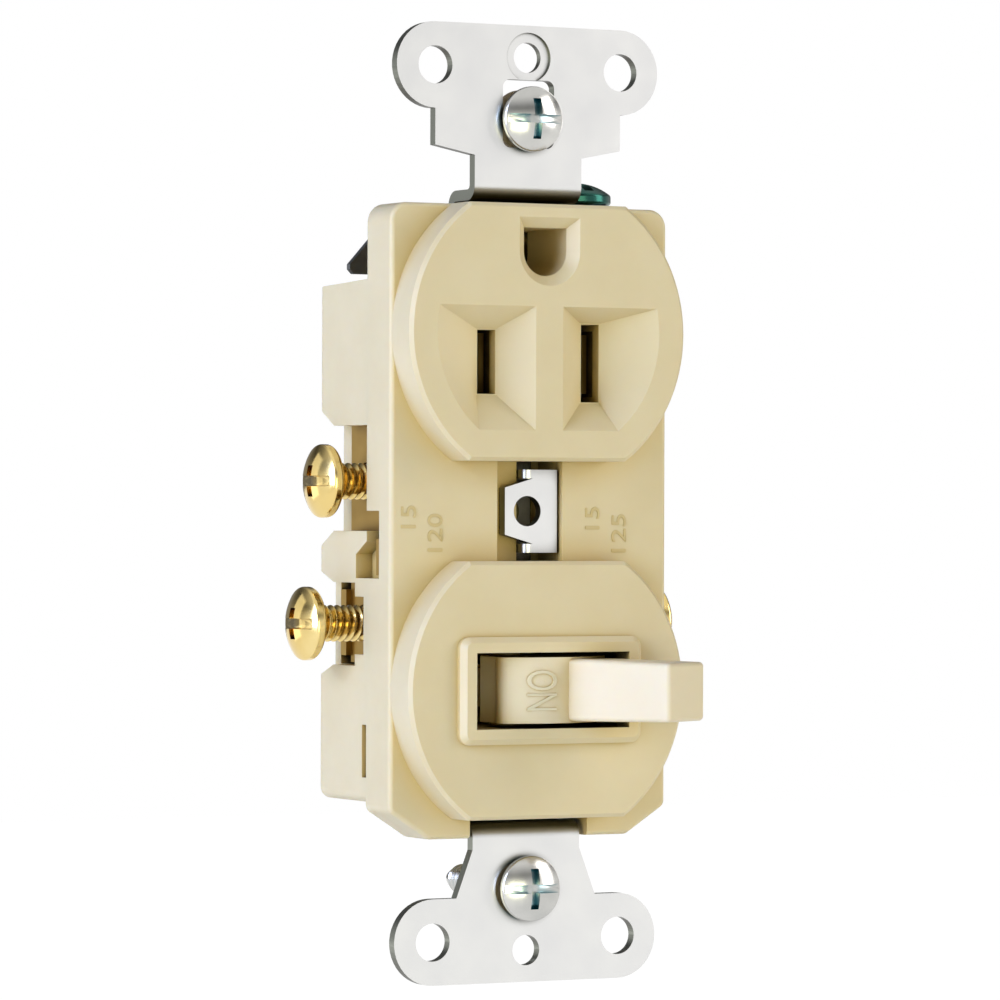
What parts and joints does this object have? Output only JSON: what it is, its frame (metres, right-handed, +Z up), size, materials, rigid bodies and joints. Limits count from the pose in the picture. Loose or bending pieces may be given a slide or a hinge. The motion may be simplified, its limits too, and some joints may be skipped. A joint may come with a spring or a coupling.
{
  "type": "switch and socket combination",
  "caption": "Ivory wall device on one steel strap: a toggle switch lying across its lower round face and a grounded blade outlet in its upper one, with side terminal screws.",
  "frame": {"origin": "centre of the strap's hole pattern, on the front plane of the strap's ears", "axes": "+Z up from the switch to the outlet, +Y into the wall box (the faces look along -Y), +X to the right seen from the front"},
  "size_m": [0.0464, 0.0349, 0.1036],
  "materials": {
    "strap_steel": "satin zinc plated",
    "ivory_plastic": "satin moulded",
    "ivory_toggle": "satin moulded",
    "brass": "satin stamped",
    "steel": "bright plated",
    "screw_steel": "bright plated",
    "brass_screw": "bright plated",
    "green_screw": "dark green dyed plating",
    "bracket_steel": "dull plated",
    "silver_contact": "silver alloy",
    "washer_fibre": "pressed fibre"
  },
  "bodies": {
    "device": {"mounting_strap": "strap_steel", "cover": "ivory_plastic", "base": "ivory_plastic", "fixed_contact_button": "silver_contact", "fixed_contact": "brass", "arm_support": "brass", "line_terminal_plate": "brass", "neutral_terminal_plate": "brass", "load_terminal_plate": "brass", "hot_contact": "brass", "neutral_contact": "brass", "ground_contact": "brass", "ground_rivet_left": "steel", "ground_rivet_right": "steel", "ground_bracket": "bracket_steel", "retaining_washer_top": "washer_fibre", "retaining_washer_bottom": "washer_fibre", "assembly_screw_1": "steel", "assembly_screw_2": "steel", "assembly_screw_3": "steel", "assembly_screw_4": "steel"},
    "toggle": {"toggle": "ivory_toggle", "plunger": "steel", "toggle_spring": "steel"},
    "contact_rocker": {"contact_arm": "brass", "moving_contact": "silver_contact"},
    "line_upper": {"line_screw_upper": "brass_screw"},
    "line_lower": {"line_screw_lower": "brass_screw"},
    "neutral": {"neutral_screw": "screw_steel"},
    "load": {"load_screw": "brass_screw"},
    "ground": {"ground_screw": "green_screw"},
    "box_top": {"mounting_screw_top": "screw_steel"},
    "box_bottom": {"mounting_screw_bottom": "screw_steel"}
  },
  "joints": [
    {"name": "toggle_throw", "type": "hinge", "parent": "device", "child": "toggle", "pos_m": [0, 0.005, -0.02005], "axis": [0, 0, 1], "range_deg": [-54, 0]},
    {"name": "rocker_tilt", "type": "hinge", "parent": "device", "child": "contact_rocker", "pos_m": [0, 0.0129, -0.02005], "axis": [0, 0, 1], "range_deg": [0, 14]},
    {"name": "line_upper_screw_travel", "type": "slide", "parent": "device", "child": "line_upper", "axis": [1, 0, 0], "range_m": [0, 0.00445]},
    {"name": "line_lower_screw_travel", "type": "slide", "parent": "device", "child": "line_lower", "axis": [1, 0, 0], "range_m": [0, 0.0059]},
    {"name": "neutral_screw_travel", "type": "slide", "parent": "device", "child": "neutral", "axis": [-1, 0, 0], "range_m": [0, 0.00445]},
    {"name": "load_screw_travel", "type": "slide", "parent": "device", "child": "load", "axis": [-1, 0, 0], "range_m": [0, 0.0059]},
    {"name": "ground_screw_travel", "type": "slide", "parent": "device", "child": "ground", "axis": [0, 0, -1], "range_m": [0, 0.0008]},
    {"name": "box_top_screw_travel", "type": "slide", "parent": "device", "child": "box_top", "axis": [0, -1, 0], "range_m": [-0.0005, 0.008]},
    {"name": "box_bottom_screw_travel", "type": "slide", "parent": "device", "child": "box_bottom", "axis": [0, -1, 0], "range_m": [-0.0005, 0.008]}
  ],
  "couplings": [
    {"joint": "rocker_tilt", "follows": "toggle_throw", "ratio": -0.25926}
  ]
}
